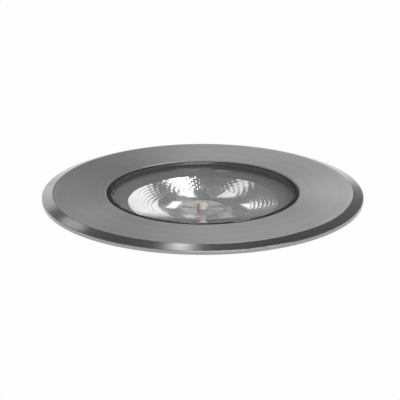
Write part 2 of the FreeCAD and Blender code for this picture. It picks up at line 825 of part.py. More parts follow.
def make_led_wires():
    """Two wires from the driver's end, up through the bush, to the board's edge."""
    level = value("board_bottom + board_thickness / 2")
    low = value("driver_bottom + driver_height / 2")
    reach = value("wire_reach")
    bend = value("wire_bend")
    radius = value("wire_radius")
    wires = []
    for side in (-1, 1):
        y = side * value("wire_spread") / 2 - value("wire_offset")
        inner = math.sqrt(value("board_radius") ** 2 - (abs(y) - radius) ** 2)
        route = [FreeCAD.Vector(value("driver_length / 2"), y, low),
                 FreeCAD.Vector(reach, y, low),
                 FreeCAD.Vector(reach, y, level),
                 FreeCAD.Vector(inner, y, level)]
        path = bent_path(route, bend)
        circle = Part.Circle(route[0], FreeCAD.Vector(1, 0, 0), radius)
        section = Part.Wire([circle.toShape()])
        wires.append(Part.Wire(path).makePipeShell([section], True, False))
        length = sum(edge.Length for edge in path)
        print("led wire volume over section times length:",
              wires[-1].Volume / (length * math.pi * radius ** 2))
    feature = DOC.addObject("Part::Feature", "led_wires")
    feature.Label = "led_wires"
    feature.Shape = Part.makeCompound(wires)
    return feature


def bent_path(route, bend):
    """Straight runs through the points of a route, with an arc at each corner."""
    edges = []
    start = route[0]
    for before, corner, after in zip(route, route[1:], route[2:]):
        arrive = (corner - before).normalize()
        leave = (after - corner).normalize()
        first = corner - arrive * bend
        last = corner + leave * bend
        inward = (leave - arrive).normalize()
        middle = corner + inward * bend * (math.sqrt(2) - 1)
        edges.append(Part.LineSegment(start, first).toShape())
        edges.append(Part.Arc(first, middle, last).toShape())
        start = last
    edges.append(Part.LineSegment(start, route[-1]).toShape())
    return edges


# ---- bottom cover, vent and gland ------------------------------------------------

def make_bottom_cover():
    """Cover plate with a groove for its O-ring and holes for the vent and gland."""
    body = new_body("bottom_cover")
    rod(body, "foot_radius", "cover_bottom", "housing_bottom")
    turn(body, [
        ("oring_circle - oring_radius - oring_groove_gap", "housing_bottom - oring_thickness"),
        ("oring_circle + oring_radius + oring_groove_gap", "housing_bottom - oring_thickness"),
        ("oring_circle + oring_radius + oring_groove_gap", "housing_bottom"),
        ("oring_circle - oring_radius - oring_groove_gap", "housing_bottom"),
    ], cut=True)
    rod(body, "large_screw / 2 + shank_gap", "cover_bottom", "housing_bottom", cut=True,
        axis=("upright", "cover_screw_circle"), copies="cover_screw_count")
    for x, radius in (("gland_x", "gland_thread / 2 + shank_gap"),
                      ("vent_x", "vent_thread / 2 + shank_gap")):
        extrude(body, disc(x, "0", radius), "cover_thickness",
                height="housing_bottom", cut=True)


def make_cover_oring():
    """O-ring that seals the cover to the housing."""
    ring = DOC.addObject("Part::Torus", "cover_oring")
    ring.Label = "cover_oring"
    ring.setExpression("Radius1", expression("oring_circle"))
    ring.setExpression("Radius2", expression("oring_radius"))
    ring.setExpression("Placement.Base.z", expression("housing_bottom - oring_radius"))


def make_cover_screws():
    """Screws that hold the bottom cover."""
    screw(new_body("cover_screws"), "large_screw / 2 - thread_gap", "large_head / 2",
          "cover_bottom", "large_head_height",
          "housing_bottom + cover_screw_depth - screw_tip_gap",
          axis=("upright", "cover_screw_circle"), copies="cover_screw_count")


def make_pressure_vent():
    """Vent plug that lets the housing breathe but keeps water out."""
    body = new_body("pressure_vent")
    extrude(body, hexagon("vent_flats"), "vent_head", height="cover_bottom - vent_head")
    rod(body, "vent_thread / 2", "cover_bottom", "housing_bottom + lug_thickness")
    rod(body, "vent_bore / 2", "cover_bottom - vent_head / 2",
        "housing_bottom + lug_thickness", cut=True)
    move(body, x="vent_x")


def make_gland_body():
    """Hexagonal collar with a thread through the cover and a spigot for the nut."""
    body = new_body("gland_body")
    extrude(body, hexagon("gland_flats"), "gland_collar", height="gland_collar_bottom")
    rod(body, "gland_thread / 2", "gland_collar_bottom + gland_collar",
        "housing_bottom + locknut_height")
    rod(body, "gland_spigot / 2", "gland_end", "gland_collar_bottom")
    turn(body, [
        ("0", "gland_end"),
        ("gland_cup / 2", "gland_end"),
        ("gland_cup / 2", "cup_top"),
        ("gland_bore / 2", "cup_top"),
        ("gland_bore / 2", "housing_bottom + locknut_height"),
        ("0", "housing_bottom + locknut_height"),
    ], cut=True)
    move(body, x="gland_x")


def make_gland_rings():
    """Sealing washer under the collar and locknut inside the housing."""
    washer = new_body("gland_washer")
    rod(washer, "gland_thread / 2 + gland_washer_width",
        "cover_bottom - gland_washer_thickness", "cover_bottom")
    rod(washer, "gland_thread / 2", "cover_bottom - gland_washer_thickness",
        "cover_bottom", cut=True)
    move(washer, x="gland_x")
    nut = new_body("gland_locknut")
    extrude(nut, hexagon("gland_flats"), "locknut_height", height="housing_bottom")
    rod(nut, "gland_thread / 2 + thread_gap", "housing_bottom",
        "housing_bottom + locknut_height", cut=True)
    move(nut, x="gland_x")


def make_gland_seal():
    """Rubber seal that the dome nut pushes up into the gland's cup."""
    body = new_body("gland_seal")
    rod(body, "gland_cup / 2 - seal_gap", "nut_shoulder_top", "seal_top")
    rod(body, "seal_bore / 2", "nut_shoulder_top", "seal_top", cut=True)
    move(body, x="gland_x")


def make_gland_nut():
    """Dome nut, drawn loose: it turns and rises on the spigot."""
    body = new_body("gland_nut")
    extrude(body, hexagon("gland_flats"), "nut_top - nut_bottom", height="nut_bottom")
    turn(body, [
        ("0", "nut_bottom"),
        ("gland_bore / 2", "nut_bottom"),
        ("gland_bore / 2", "nut_shoulder_top"),
        ("gland_spigot / 2 + thread_gap", "nut_shoulder_top"),
        ("gland_spigot / 2 + thread_gap", "nut_top"),
        ("0", "nut_top"),
    ], cut=True)
    turn(body, [
        ("gland_flats / 2", "nut_bottom"),
        ("gland_flats", "nut_bottom"),
        ("gland_flats", "nut_bottom + gland_flats / 2"),
    ], cut=True)
    move(body, x="gland_x")


# ---- sprung claws ----------------------------------------------------------------

def make_claw_brackets():
    """Three forked brackets on flats of the housing, each with a peg for its spring."""
    body = new_body("claw_brackets")
    plate = rectangle("claw_seat", "-cheek_outer", "bracket_face", "cheek_outer")
    extrude(body, plate, "bracket_top - bracket_bottom", height="bracket_bottom",
            copies="claw_count")
    cheek = [
        ("bracket_middle", "bracket_bottom"),
        ("pivot_x + bracket_foot / 2", "bracket_bottom"),
        ("pivot_x + bracket_foot", "pivot_z - bracket_foot / 2"),
        ("pivot_x + bracket_foot", "pivot_z + bracket_foot / 2"),
        ("pivot_x + bracket_foot / 2", "pivot_z + bracket_foot"),
        ("bracket_middle", "pivot_z + bracket_foot * 2"),
    ]
    for depth in ("cheek_inner", "-cheek_outer"):
        extrude(body, lambda drawing: outline(drawing, cheek), "bracket_thickness",
                plane="XZ_Plane", height=depth, copies="claw_count")
    rod(body, "spring_peg / 2", "bracket_middle", "bracket_face + bracket_peg_length",
        axis=("level", "spring_z"), copies="claw_count")
    for place in ("bracket_upper_z", "bracket_lower_z"):
        rod(body, "small_screw / 2 + shank_gap", "claw_seat", "bracket_face", cut=True,
            axis=("level", place), copies="claw_count")
    extrude(body, disc("pivot_x", "pivot_z", "pin_diameter / 2 + pin_gap"),
            "4 * cheek_outer", plane="XZ_Plane", cut=True, middle=True,
            copies="claw_count")
    move(body, spin="claw_angle")


def make_bracket_screws():
    """Screws that hold the brackets to the housing."""
    body = new_body("bracket_screws")
    for place in ("bracket_upper_z", "bracket_lower_z"):
        screw(body, "small_screw / 2 - thread_gap", "small_head / 2", "bracket_face",
              "small_head_height", "claw_seat - bracket_screw_depth + screw_tip_gap",
              axis=("level", place), copies="claw_count", down=False)
    move(body, spin="claw_angle")


def make_claw_pins():
    """Pivot pins of the claws."""
    body = new_body("claw_pins")
    extrude(body, disc("pivot_x", "pivot_z", "pin_diameter / 2"),
            "2 * cheek_outer + 2 * pin_head", plane="XZ_Plane", middle=True,
            copies="claw_count")
    move(body, spin="claw_angle")


def make_claw_arm(number):
    """Claw that leans out on its pin until its tip nearly meets the sleeve."""
    body = new_body("claw_arm_%d" % number)
    bar = [
        ("pivot_x + arm_side", "pivot_z - arm_drop"),
        ("tip_x + arm_side", "tip_z - arm_drop"),
        ("tip_x - arm_side", "tip_z + arm_drop"),
        ("pivot_x - arm_side", "pivot_z + arm_drop"),
    ]
    extrude(body, lambda drawing: outline(drawing, bar), "claw_width",
            plane="XZ_Plane", middle=True)
    for x, z, radius in (("pivot_x", "pivot_z", "eye_radius"),
                         ("tip_x", "tip_z", "claw_tip_radius")):
        extrude(body, disc(x, z, radius), "claw_width", plane="XZ_Plane", middle=True)
    rod(body, "spring_peg / 2", "arm_face - arm_peg_length",
        "arm_face + claw_thickness / 2", axis=("level", "spring_z"))
    extrude(body, disc("pivot_x", "pivot_z", "pin_diameter / 2 + pin_gap"),
            "2 * claw_width", plane="XZ_Plane", cut=True, middle=True)
    move(body, spin="claw_angle + %d * 360 / claw_count" % (number - 1))


def coil_edges(radius, start, length, turns):
    """Pairs of tangent arcs along a helix about X, two pairs to a turn and more."""
    steps = int(turns * 4)
    pitch = length / turns

    def point(angle):
        return FreeCAD.Vector(start + pitch * angle / (2 * math.pi),
                              radius * math.cos(angle), radius * math.sin(angle))

    def heading(angle):
        slope = pitch / (2 * math.pi)
        return FreeCAD.Vector(slope, -radius * math.sin(angle),
                              radius * math.cos(angle)).normalize()

    edges = []
    for step in range(steps):
        angles = (math.pi / 2 * step, math.pi / 2 * (step + 1))
        first, last = point(angles[0]), point(angles[1])
        leave, arrive = heading(angles[0]), heading(angles[1])
        span = last - first
        slack = leave.dot(arrive) - 1
        along = span.dot(leave + arrive)
        reach = (along - math.sqrt(along ** 2 - 2 * slack * span.dot(span))) / (2 * slack)
        corner_one = first + leave * reach
        corner_two = last - arrive * reach
        joint = (corner_one + corner_two) * 0.5
        for begin, corner, end in ((first, corner_one, joint), (joint, corner_two, last)):
            middle = (begin + end) * 0.5
            half = (end - begin).Length / 2
            rise = half * math.tan(math.acos(half / reach) / 2)
            crown = middle + (corner - middle).normalize() * rise
            edges.append(Part.Arc(begin, crown, end).toShape())
    return edges


def make_claw_spring(number):
    """Compression spring between a bracket and its claw."""
    wire = value("spring_wire") / 2
    radius = value("spring_diameter") / 2 - wire
    start = value("bracket_face") + wire + value("thread_gap")
    length = value("spring_end") - wire - start
    turns = value("spring_turns")
    edges = coil_edges(radius, start, length, turns)
    heading = edges[0].tangentAt(edges[0].FirstParameter)
    origin = edges[0].valueAt(edges[0].FirstParameter)
    section = Part.Wire([Part.Circle(origin, heading, wire).toShape()])
    shape = Part.Wire(edges).makePipeShell([section], True, False)
    path_length = sum(edge.Length for edge in edges)
    print("claw spring: least gap between turns", length / turns - 2 * wire)
    print("claw spring: volume over section times length",
          shape.Volume / (path_length * math.pi * wire ** 2))
    feature = DOC.addObject("Part::Feature", "claw_spring_%d" % number)
    feature.Label = "claw_spring_%d" % number
    feature.Shape = shape
    angle = value("claw_angle") + (number - 1) * 360 / value("claw_count")
    swing = FreeCAD.Rotation(FreeCAD.Vector(0, 0, 1), angle)
    lift = FreeCAD.Vector(0, 0, value("spring_z"))
    feature.Placement = FreeCAD.Placement(lift, swing)


# ---- sleeve ----------------------------------------------------------------------

def make_installation_sleeve():
    """Round pot that is set in the ground and carries the lamp on its rim."""
    body = new_body("installation_sleeve")
    turn(body, [
        ("0", "-sleeve_depth"),
        ("sleeve_radius - sleeve_chamfer", "-sleeve_depth"),
        ("sleeve_radius", "sleeve_chamfer - sleeve_depth"),
        ("sleeve_radius", "0"),
        ("sleeve_radius - seat_step", "seat_step"),
        ("sleeve_bore", "seat_step"),
        ("sleeve_bore", "sleeve_floor"),
        ("0", "sleeve_floor"),
    ])
    rod(body, "drain_diameter / 2", "-sleeve_depth", "sleeve_floor", cut=True,
        axis=("upright", "drain_circle / 2"), copies="drain_count")
    turn(body, [
        ("sleeve_radius - knockout_line", "conduit_z + knockout_diameter / 2 - knockout_line"),
        ("sleeve_radius + knockout_line", "conduit_z + knockout_diameter / 2 - knockout_line"),
        ("sleeve_radius + knockout_line", "conduit_z + knockout_diameter / 2"),
        ("sleeve_radius - knockout_line", "conduit_z + knockout_diameter / 2"),
    ], cut=True, axis=("level", "conduit_z"), copies="knockout_count")
    rod(body, "conduit_diameter / 2", "sleeve_bore - 2 * sleeve_wall",
        "sleeve_radius + sleeve_wall", cut=True, axis=("level", "conduit_z"),
        plane="YZ_Plane")


def make_conduit_grommet():
    """Rubber grommet in the sleeve's open cable port."""
    body = new_body("conduit_grommet")
    turn(body, [
        ("grommet_bore / 2", "grommet_back"),
        ("conduit_diameter / 2 + grommet_lip", "grommet_back"),
        ("conduit_diameter / 2 + grommet_lip", "grommet_shoulder"),
        ("conduit_diameter / 2", "grommet_shoulder"),
        ("conduit_diameter / 2", "grommet_face"),
        ("grommet_bore / 2", "grommet_face"),
    ])
    move(body, spin="0 - 90", turn_axis=FreeCAD.Vector(1, 0, 0), z="conduit_z")


def check_document():
    """Stops unless every object is sound and every cut removed something."""
    for item in DOC.Objects:
        if "Invalid" in item.State or "Error" in item.State:
            raise RuntimeError("%s is not sound: %s" % (item.Label, item.State))
        if item.TypeId in ("PartDesign::Groove", "PartDesign::Pocket"):
            if item.Shape.Volume > item.BaseFeature.Shape.Volume - 1e-3:
                raise RuntimeError("%s cuts nothing" % item.Name)


def write_parts():
    """Writes each sub-part to a file under its own label."""
    os.makedirs("parts", exist_ok=True)
    kinds = ("PartDesign::Body", "Part::Feature", "Part::Torus")
    for item in [item for item in DOC.Objects if item.TypeId in kinds]:
        if item.Shape.isNull() or not item.Shape.isValid():
            raise RuntimeError("%s has no valid shape" % item.Label)
        item.Shape.exportStep(os.path.join("parts", item.Label + ".step"))
        print("%-22s %2d solids %12.1f mm3" % (item.Label, len(item.Shape.Solids),
                                              item.Shape.Volume))


def build():
    """Makes every sub-part, checks it and writes it."""
    fill_sheet()
    for make in (make_trim_ring, make_glass_lens, make_glass_gasket, make_seat_gasket,
                 make_mask_ring, make_reflector, make_led_lens, make_led_chip,
                 make_led_board, make_led_screws, make_thermal_pad, make_housing,
                 make_trim_screws, make_driver, make_driver_screws, make_terminal_block,
                 make_terminal_screws, make_supply_wires, make_earth_parts,
                 make_wire_bush, make_led_wires, make_bottom_cover, make_cover_oring,
                 make_cover_screws, make_pressure_vent, make_gland_body,
                 make_gland_rings, make_gland_seal, make_gland_nut, make_claw_brackets,
                 make_bracket_screws, make_claw_pins, make_installation_sleeve,
                 make_conduit_grommet):
        make()
    for number in range(1, int(value("claw_count")) + 1):
        make_claw_arm(number)
        make_claw_spring(number)
    DOC.recompute()
    check_document()
    write_parts()


build()
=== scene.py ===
"""The looks of an in-ground well light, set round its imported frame.

Metres, +Z up.  The origin is on the lamp's axis at ground level.
"""

import math

import bmesh
import bpy
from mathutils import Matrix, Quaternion, Vector


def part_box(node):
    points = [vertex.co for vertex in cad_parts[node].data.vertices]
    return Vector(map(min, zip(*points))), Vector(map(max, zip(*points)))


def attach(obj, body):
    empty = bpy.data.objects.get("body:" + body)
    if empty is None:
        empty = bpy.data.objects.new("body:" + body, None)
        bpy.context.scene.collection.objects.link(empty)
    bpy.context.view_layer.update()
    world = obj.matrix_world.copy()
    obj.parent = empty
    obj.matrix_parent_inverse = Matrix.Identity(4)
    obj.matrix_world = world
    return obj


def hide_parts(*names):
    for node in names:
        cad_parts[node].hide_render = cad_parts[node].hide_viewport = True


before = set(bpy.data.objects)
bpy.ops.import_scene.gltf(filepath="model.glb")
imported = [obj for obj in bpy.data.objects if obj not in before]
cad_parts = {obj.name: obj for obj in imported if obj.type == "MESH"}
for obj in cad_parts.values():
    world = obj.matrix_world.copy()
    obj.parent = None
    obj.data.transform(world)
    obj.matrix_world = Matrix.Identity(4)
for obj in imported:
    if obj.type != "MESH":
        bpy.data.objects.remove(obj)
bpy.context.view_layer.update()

# ---- the photograph's view ---------------------------------------------------------
VIEW_ELEVATION = math.radians(19.49)
VIEW_DISTANCE = 2.032
LENS_MM = 293.8
SENSOR_MM = 36.0
PICTURE_PIXELS = 400
ORIGIN_PIXEL = (202.757, 198.735)

# ---- the ground round the lamp -----------------------------------------------------
GROUND_LEVEL = -0.0002
GROUND_REACH = 4.0
HOLE_GAP = 0.0015

# ---- sizes read from the frame -----------------------------------------------------
FLANGE_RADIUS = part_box("trim_ring")[1].x
SLEEVE_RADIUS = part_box("installation_sleeve")[1].x
BOARD_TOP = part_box("led_board")[1].z
MOUTH_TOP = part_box("reflector")[1].z
LENS_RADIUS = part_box("led_lens")[1].x
LENS_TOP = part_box("led_lens")[1].z
LED_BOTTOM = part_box("led_chip")[0].z
LED_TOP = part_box("led_chip")[1].z
LED_WIDTH = 2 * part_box("led_chip")[1].x
GLASS_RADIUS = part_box("glass_lens")[1].x

# ---- the flange, as the frame has it -----------------------------------------------
BEVEL_WIDTH = 0.0066
BEVEL_START = FLANGE_RADIUS - BEVEL_WIDTH
EDGE_RADIUS = 0.001             # how far its edges look rounded

# ---- the reflector, as the frame has it --------------------------------------------
MOUTH_RADIUS = 0.0464
MOUTH_LINE = 0.0005
APERTURE_RADIUS = 0.014
BOWL_DEPTH = 0.0048
BOWL_CURVE = 0.205
BOWL_SKIN = 0.0006
FLANGE_REACH = 0.0509
FLANGE_DROP = 0.0017
FLANGE_SKIN = 0.0008
FOOT_RADIUS = 0.016

# ---- steps and facets of the dressed reflector -------------------------------------
BOWL_STEPS = 14
UNDER_STEPS = 8
FACETS_ROUND = 64
FACET_ROWS = 7
FACET_STEPS = 8
FACET_START = 0.0297
FACET_CROWN = 0.000036

# ---- the LED and its lens ----------------------------------------------------------
LED_FOOT_SHARE = 0.28           # share of the LED's height that is its grey foot
DOME_RADIUS = 0.0041
DOME_HEIGHT = 0.0036
DOME_STEPS = 24
BOND_RADIUS = 0.0032            # the lens is bonded to the board this far out
BOND_DEPTH = 0.00001
SEAT_GAP = 0.00002
LENS_RIM = ((0.0, 0.0004), (0.0001, 0.00015), (0.0004, 0.0))    # inwards, down
LENS_RIDGES = 9
RIDGE_STEPS = 6
RIDGE_HEIGHT = 0.00006
RIDGE_START = 0.0002
RIDGE_MARGIN = 0.0008

# ---- glass and meshes --------------------------------------------------------------
GLASS_TINT = 0.99
GLASS_IOR = 1.52
PLASTIC_TINT = 0.975
PLASTIC_IOR = 1.49
GRIND_WIDTH = 0.0003            # width of a glass disc's rough edge
WELD_DISTANCE = 0.0000001
AROUND = 192

# ---- light -------------------------------------------------------------------------
LAMP_DISTANCE = 5.0
WHITE_SHARE = 0.97              # the rest of the ground's white shows shadows
# The boxes as the object sees them, in degrees.  Azimuth runs from the back towards the
# right, and a roll leans a box's top the same way.  The bowl mirrors the wedge,
# back_right_low and back_left as its lobes, and the two spots as its bright spots, left
# for right.
# name, azimuth, elevation, width, height, radiance, roll
SOFT_BOXES = (
    ("wedge_tip", 2.7, 33.8, 1.2, 8.6, 1.6, 14.0),
    ("wedge_edge", 3.4, 39.0, 2.0, 17.0, 1.6, 6.0),
    ("wedge_middle", 5.2, 40.4, 3.0, 9.0, 1.6, 22.0),
    ("wedge_top", 7.6, 45.6, 7.0, 10.0, 1.6, 0.0),
    ("back_right_low", 8.7, 21.0, 7.0, 30.0, 1.5, 15.0),
    ("back_left", -5.6, 34.5, 2.4, 12.0, 1.2, -22.0),
    ("spot_left", 3.02, 21.8, 0.9, 6.8, 2.1, 0.0),
    ("spot_right", -4.7, 18.4, 1.4, 6.0, 2.1, 0.0),
    ("high_left", -20.0, 36.0, 8.0, 8.0, 0.8, 0.0),
    ("front_fill", 170.0, 30.0, 40.0, 36.0, 3.4, 0.0),
    ("strip_above", -7.5, 57.0, 3.0, 10.0, 2.5, 0.0),
    ("key_right", 105.0, 58.0, 18.0, 18.0, 6.0, 0.0),
    ("key_front", -150.0, 69.0, 14.0, 14.0, 3.0, 0.0),
    ("side_left", -18.0, 16.0, 12.0, 16.0, 0.7, 0.0),
    ("far_left", -54.0, 30.0, 8.0, 18.0, 1.3, 0.0),
    ("far_left_slim", -39.0, 22.0, 3.0, 14.0, 1.3, 0.0),
    ("far_right", 144.0, 20.0, 8.0, 18.0, 1.3, 0.0),
    ("far_right_slim", 129.0, 14.0, 3.0, 12.0, 1.3, 0.0),
)
# Brightness of the room by the height of a direction, from level to straight up.
ROOM = ((0.0, 0.985), (0.07, 0.985), (0.17, 0.39), (0.34, 0.25), (0.8, 0.17), (1.0, 0.32))


# ---- node helpers ------------------------------------------------------------------

class Nodes:
    """A short way to write a material's or the world's node tree."""

    def __init__(self, tree):
        self.tree = tree
        tree.nodes.clear()

    def add(self, kind, settings=None, **inputs):
        """Adds a node: settings are its own fields, and inputs are values or links."""
        node = self.tree.nodes.new("ShaderNode" + kind)
        for name, setting in (settings or {}).items():
            setattr(node, name, setting)
        for name, source in inputs.items():
            self.feed(node, name.replace("_", " "), source)
        return node

    def feed(self, node, socket, source):
        """Links an output to an input, or sets the input's value."""
        target = node.inputs[int(socket)] if socket.isdigit() else node.inputs[socket]
        if isinstance(source, bpy.types.NodeSocket):
            self.tree.links.new(source, target)
        else:
            target.default_value = source

    def math(self, operation, first, second=0.0, third=0.0):
        """One arithmetic step."""
        node = self.tree.nodes.new("ShaderNodeMath")
        node.operation = operation
        for index, source in enumerate((first, second, third)):
            self.feed(node, str(index), source)
        return node.outputs[0]

    def noise(self, place, scale, detail, **inputs):
        """Uneven values from 0 to 1; the scale is the features in a metre."""
        node = self.add("TexNoise", Vector=place, Scale=scale, Detail=detail, **inputs)
        return node.outputs["Fac"]

    def vary(self, lowest, share, uneven):
        """A value, and a share of an uneven one on top."""
        return self.math("ADD", lowest, self.math("MULTIPLY", uneven, share))

    def blend(self, share, first, second):
        """Two shaders, with a share of the second."""
        node = self.add("MixShader", Fac=share)
        self.feed(node, "1", first.outputs[0])
        self.feed(node, "2", second.outputs[0])
        return node.outputs[0]

    def ramp(self, factor, stops):
        """A colour ramp from (place, grey or colour) stops."""
        node = self.tree.nodes.new("ShaderNodeValToRGB")
        band = node.color_ramp
        while len(band.elements) < len(stops):
            band.elements.new(0.5)
        for element, (place, tone) in zip(band.elements, stops):
            element.position = place
            element.color = colour(tone)
        self.feed(node, "Fac", factor)
        return node.outputs["Color"]


def colour(tone):
    """A full colour from a grey, or from three parts."""
    parts = (tone, tone, tone) if isinstance(tone, float) else tone
    return parts + (1.0,)


def new_material(name):
    """An empty material and its node helper."""
    material = bpy.data.materials.new(name)
    material.use_nodes = True
    return material, Nodes(material.node_tree)


def finish_surface(nodes, base, roughness, metallic=0.0, bump=None, bump_height=0.0,
                   bump_strength=0.3, **extra):
    """The main shader and the output, with a bump where one is given."""
    shader = nodes.add("BsdfPrincipled")
    nodes.feed(shader, "Base Color", base)
    nodes.feed(shader, "Roughness", roughness)
    nodes.feed(shader, "Metallic", metallic)
    for name, source in extra.items():
        nodes.feed(shader, name.replace("_", " "), source)
    if bump is not None:
        relief = nodes.add("Bump", Strength=bump_strength, Distance=bump_height, Height=bump)
        nodes.feed(shader, "Normal", relief.outputs[0])
    nodes.add("OutputMaterial", Surface=shader.outputs[0])
    return shader


def own_place(nodes):
    """The object's own coordinates."""
    return nodes.add("TexCoord").outputs["Object"]


def split(nodes, place):
    """The x, y and z of a place."""
    return nodes.add("SeparateXYZ", Vector=place).outputs


def axis_distance(nodes, x, y):
    """Distance from the lamp's axis."""
    return nodes.math("SQRT", nodes.math("ADD", nodes.math("MULTIPLY", x, x),
                                         nodes.math("MULTIPLY", y, y)))


# ---- materials ---------------------------------------------------------------------

def turned_steel():
    """Stainless steel with fine circular grain, and a bevel polished brighter."""
    material, nodes = new_material("turned_steel")
    place = own_place(nodes)
    x, y, z = split(nodes, place)
    radius = axis_distance(nodes, x, y)
    ring_place = nodes.add("CombineXYZ", X=radius, Y=0.0, Z=z).outputs[0]
    grain = nodes.noise(ring_place, 2600.0, 3.0, Roughness=0.6)
    bands = nodes.noise(ring_place, 160.0, 2.0)
    mottle = nodes.noise(place, 55.0, 3.0)
    tone = nodes.math("ADD", nodes.math("MULTIPLY", grain, 0.5),
                      nodes.math("MULTIPLY", bands, 0.5))
    base = nodes.ramp(tone, ((0.3, (0.31, 0.31, 0.315)), (0.7, (0.39, 0.39, 0.395))))
    brushed = nodes.vary(0.26, 0.1, mottle)
    polished = nodes.math("GREATER_THAN", radius, BEVEL_START)
    rough = nodes.math("SUBTRACT", brushed, nodes.math("MULTIPLY", polished, 0.19))
    tangent = nodes.add("Tangent", {"direction_type": "RADIAL", "axis": "Z"})
    shader = finish_surface(nodes, base, rough, metallic=1.0, bump=grain,
                            bump_height=0.00001, bump_strength=0.35, Anisotropic=0.75,
                            Tangent=tangent.outputs[0])
    relief = shader.inputs["Normal"].links[0].from_node
    rounded = nodes.add("Bevel", {"samples": 6}, Radius=EDGE_RADIUS)
    nodes.feed(relief, "Normal", rounded.outputs[0])
    return material


def plain_metal(name, low, high, roughness, scale=900.0):
    """Metal with a fine uneven tone and a light grain."""
    material, nodes = new_material(name)
    place = own_place(nodes)
    fine = nodes.noise(place, scale, 4.0)
    broad = nodes.noise(place, scale / 20, 3.0)
    base = nodes.ramp(broad, ((0.3, low), (0.7, high)))
    rough = nodes.vary(roughness - 0.06, 0.14, broad)
    finish_surface(nodes, base, rough, metallic=1.0, bump=fine, bump_height=0.00002)
    return material


def cast_coat():
    """Powder-coated casting with a slight orange peel."""
    material, nodes = new_material("cast_coat")
    place = own_place(nodes)
    peel = nodes.noise(place, 1400.0, 2.0)
    broad = nodes.noise(place, 40.0, 4.0)
    base = nodes.ramp(broad, ((0.3, (0.1, 0.1, 0.105)), (0.7, (0.14, 0.14, 0.145))))
    finish_surface(nodes, base, 0.46, metallic=0.25, bump=peel, bump_height=0.00006)
    return material


def moulded(name, low, high, roughness=0.5, scale=1800.0, relief=0.00004, **extra):
    """Moulded plastic, rubber or paint with a fine spark-eroded texture."""
    material, nodes = new_material(name)
    place = own_place(nodes)
    fine = nodes.noise(place, scale, 3.0)
    broad = nodes.noise(place, 30.0, 4.0)
    base = nodes.ramp(broad, ((0.35, low), (0.65, high)))
    rough = nodes.vary(roughness - 0.05, 0.12, broad)
    finish_surface(nodes, base, rough, bump=fine, bump_height=relief, **extra)
    return material


def clear_glass(name, reach, tint, ior):
    """Clear glass or plastic with a rough edge, which lets light through to what it covers."""
    material, nodes = new_material(name)
    place = own_place(nodes)
    x, y, _ = split(nodes, place)
    grind = nodes.noise(place, 900.0, 3.0)
    edge = nodes.math("GREATER_THAN", axis_distance(nodes, x, y), reach - GRIND_WIDTH)
    rough = nodes.math("MULTIPLY", edge, nodes.vary(0.35, 0.2, grind))
    glass = nodes.add("BsdfGlass", Color=colour(tint), Roughness=rough, IOR=ior)
    through = nodes.add("BsdfTransparent", Color=colour(tint))
    shadow = nodes.add("LightPath").outputs["Is Shadow Ray"]
    nodes.add("OutputMaterial", Surface=nodes.blend(shadow, glass, through))
    return material


def mirror_finish():
    """Bright evaporated aluminium with a faint uneven haze."""
    material, nodes = new_material("mirror_finish")
    haze = nodes.noise(own_place(nodes), 120.0, 3.0)
    base = nodes.ramp(haze, ((0.3, 0.83), (0.7, 0.91)))
    finish_surface(nodes, base, nodes.vary(0.03, 0.05, haze), metallic=1.0)
    return material


def phosphor():
    """The LED block: yellow phosphor on the left of its top, darkened at the left edge as
    painted shade, a white right half that is a painted highlight, and a grey foot.
    """
    material, nodes = new_material("phosphor")
    place = own_place(nodes)
    x, _, z = split(nodes, place)
    grain = nodes.noise(place, 1600.0, 3.0)
    across = nodes.math("MULTIPLY_ADD", x, 1 / LED_WIDTH, 0.5)
    # Painted light: the dark orange at the left edge is painted shade, and the white right
    # half is a painted highlight.
    coat_with_painted_light = nodes.ramp(nodes.vary(across, 0.03, grain), (
        (0.0, (0.42, 0.28, 0.18)), (0.1, (0.62, 0.42, 0.25)), (0.16, (0.9, 0.66, 0.38)),
        (0.5, (0.95, 0.76, 0.5)), (0.54, (0.95, 0.95, 0.94)), (1.0, 0.97)))
    foot_top = LED_BOTTOM + LED_FOOT_SHARE * (LED_TOP - LED_BOTTOM)
    tone = nodes.add("Mix", {"data_type": "RGBA"})
    nodes.feed(tone, "0", nodes.math("LESS_THAN", z, foot_top))
    nodes.feed(tone, "6", coat_with_painted_light)
    nodes.feed(tone, "7", colour(0.3))
    finish_surface(nodes, tone.outputs[2], 0.35, bump=grain, bump_height=0.00003)
    return material


